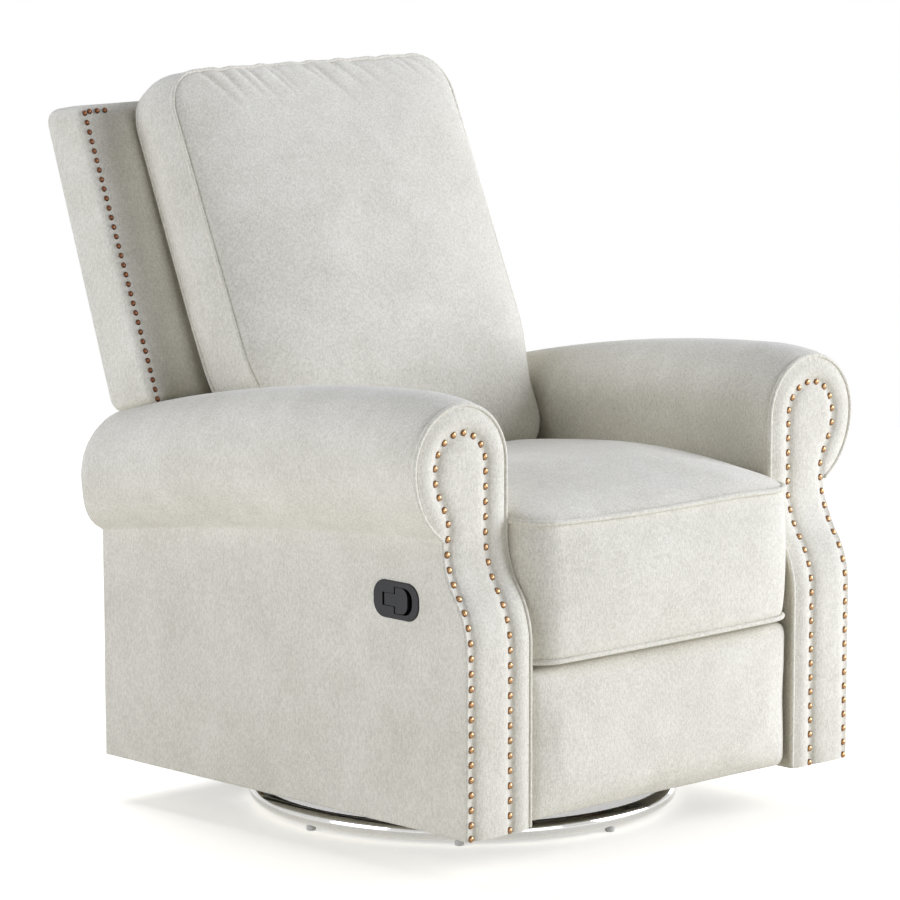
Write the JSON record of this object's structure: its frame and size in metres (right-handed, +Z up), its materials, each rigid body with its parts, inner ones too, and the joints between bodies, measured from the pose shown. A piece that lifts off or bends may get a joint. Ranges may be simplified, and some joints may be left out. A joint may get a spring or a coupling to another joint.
{
  "type": "swivel glider recliner",
  "caption": "Upholstered swivel glider recliner with rolled nail-trimmed arms, a winged reclining back, a flip-out footrest on folding links and a round ring base.",
  "frame": {"origin": "on the floor under the middle of the chair's bounding box, in its plane of symmetry", "axes": "+Z up, the sitter faces -Y, +X is the sitter's left"},
  "size_m": [0.8374, 0.84, 1.0046],
  "materials": {
    "upholstery": "soft, low nap",
    "welt_cord": "soft, low nap",
    "chrome": "polished",
    "foot_plastic": "matte",
    "black_steel": "satin",
    "zinc_steel": "satin",
    "timber": "sawn",
    "latch_black": "fine grain",
    "nail_copper": "antique"
  },
  "bodies": {
    "base": {"ring_base": "chrome", "ring_feet": "foot_plastic", "base_cross": "black_steel", "swivel_race": "zinc_steel"},
    "turntable": {"turntable": "black_steel", "glide_bracket_left": "black_steel", "glide_bracket_right": "black_steel", "glide_upper_pins": "zinc_steel"},
    "front_glide_links": {"glide_link_front_left": "zinc_steel", "glide_link_front_right": "zinc_steel"},
    "rear_glide_links": {"glide_link_rear_left": "zinc_steel", "glide_link_rear_right": "zinc_steel"},
    "carriage": {"glide_lower_pins": "zinc_steel", "glide_rail_left": "black_steel", "glide_rail_right": "black_steel", "front_cross_rail": "black_steel", "rear_cross_rail": "black_steel", "arm_front_left": "upholstery", "arm_front_right": "upholstery", "arm_welt_left": "welt_cord", "arm_welt_right": "welt_cord", "arm_left": "upholstery", "arm_right": "upholstery", "arm_frame_left": "timber", "arm_frame_right": "timber", "side_track_left": "zinc_steel", "side_track_right": "zinc_steel", "rear_panel": "upholstery", "rear_rail": "timber", "latch_plate": "latch_black", "latch_pin": "zinc_steel"},
    "latch": {"latch_lever": "latch_black"},
    "back": {"back_shell": "upholstery", "back_frame": "timber", "back_cushion": "upholstery", "back_bracket_left": "zinc_steel", "back_bracket_right": "zinc_steel"},
    "seat": {"seat_cushion": "upholstery", "seat_frame": "timber", "seat_springs": "zinc_steel", "seat_rollers": "zinc_steel", "seat_plate_left": "zinc_steel", "seat_plate_right": "zinc_steel"},
    "drive_links": {"drive_link_left": "zinc_steel", "drive_link_right": "zinc_steel", "torque_tube": "zinc_steel"},
    "support_links": {"support_link_left": "zinc_steel", "support_link_right": "zinc_steel"},
    "long_links": {"long_link_left": "zinc_steel", "long_link_right": "zinc_steel"},
    "tilt_links": {"tilt_link_left": "zinc_steel", "tilt_link_right": "zinc_steel"},
    "footrest": {"footrest_bracket_left": "zinc_steel", "footrest_bracket_right": "zinc_steel", "footrest_board": "timber", "footrest_pad": "upholstery"}
  },
  "joints": [
    {"name": "swivel", "type": "hinge", "parent": "base", "child": "turntable", "pos_m": [0, -0.028, 0.05], "axis": [0, 0, 1], "continuous": true},
    {"name": "glide", "type": "hinge", "parent": "turntable", "child": "front_glide_links", "pos_m": [0, -0.123, 0.165], "axis": [1, 0, 0], "range_deg": [-22, 22]},
    {"name": "glide_level", "type": "hinge", "parent": "front_glide_links", "child": "carriage", "pos_m": [0, -0.123, 0.085], "axis": [1, 0, 0], "range_deg": [-22, 22]},
    {"name": "glide_rear", "type": "hinge", "parent": "turntable", "child": "rear_glide_links", "pos_m": [0, 0.067, 0.165], "axis": [1, 0, 0], "range_deg": [-22, 22]},
    {"name": "recline", "type": "hinge", "parent": "carriage", "child": "back", "pos_m": [0, 0.215, 0.34], "axis": [-1, 0, 0], "range_deg": [0, 20]},
    {"name": "seat_slide", "type": "slide", "parent": "carriage", "child": "seat", "axis": [0, -1, 0], "range_m": [0, 0.022]},
    {"name": "footrest_open", "type": "hinge", "parent": "seat", "child": "drive_links", "pos_m": [0, -0.225, 0.275], "axis": [-1, 0, 0], "range_deg": [0, 140]},
    {"name": "support_turn", "type": "hinge", "parent": "seat", "child": "support_links", "pos_m": [0, -0.1957, 0.2692], "axis": [-1, 0, 0], "range_deg": [0, 137.5]},
    {"name": "long_turn", "type": "hinge", "parent": "drive_links", "child": "long_links", "pos_m": [0, -0.08211, 0.1925], "axis": [-1, 0, 0], "range_deg": [-102.5, 0]},
    {"name": "tilt_turn", "type": "hinge", "parent": "drive_links", "child": "tilt_links", "pos_m": [0, -0.06132, 0.1805], "axis": [-1, 0, 0], "range_deg": [-104.4, 0]},
    {"name": "footrest_turn", "type": "hinge", "parent": "long_links", "child": "footrest", "pos_m": [0, -0.3401, 0.19025], "axis": [-1, 0, 0], "range_deg": [0, 52.5]},
    {"name": "latch_pull", "type": "hinge", "parent": "carriage", "child": "latch", "pos_m": [-0.36, -0.263, 0.361], "axis": [0, 0, -1], "range_deg": [0, 30], "stiffness_Nm_per_rad": 0.3}
  ],
  "couplings": [
    {"joint": "glide_level", "follows": "glide", "ratio": -1},
    {"joint": "glide_rear", "follows": "glide", "ratio": 1},
    {"joint": "seat_slide", "follows": "recline", "m_per_rad": 0.063},
    {"joint": "support_turn", "follows": "footrest_open", "ratio": 0.98214},
    {"joint": "long_turn", "follows": "footrest_open", "ratio": -0.73214},
    {"joint": "tilt_turn", "follows": "footrest_open", "ratio": -0.74571},
    {"joint": "footrest_turn", "follows": "footrest_open", "ratio": 0.375}
  ]
}
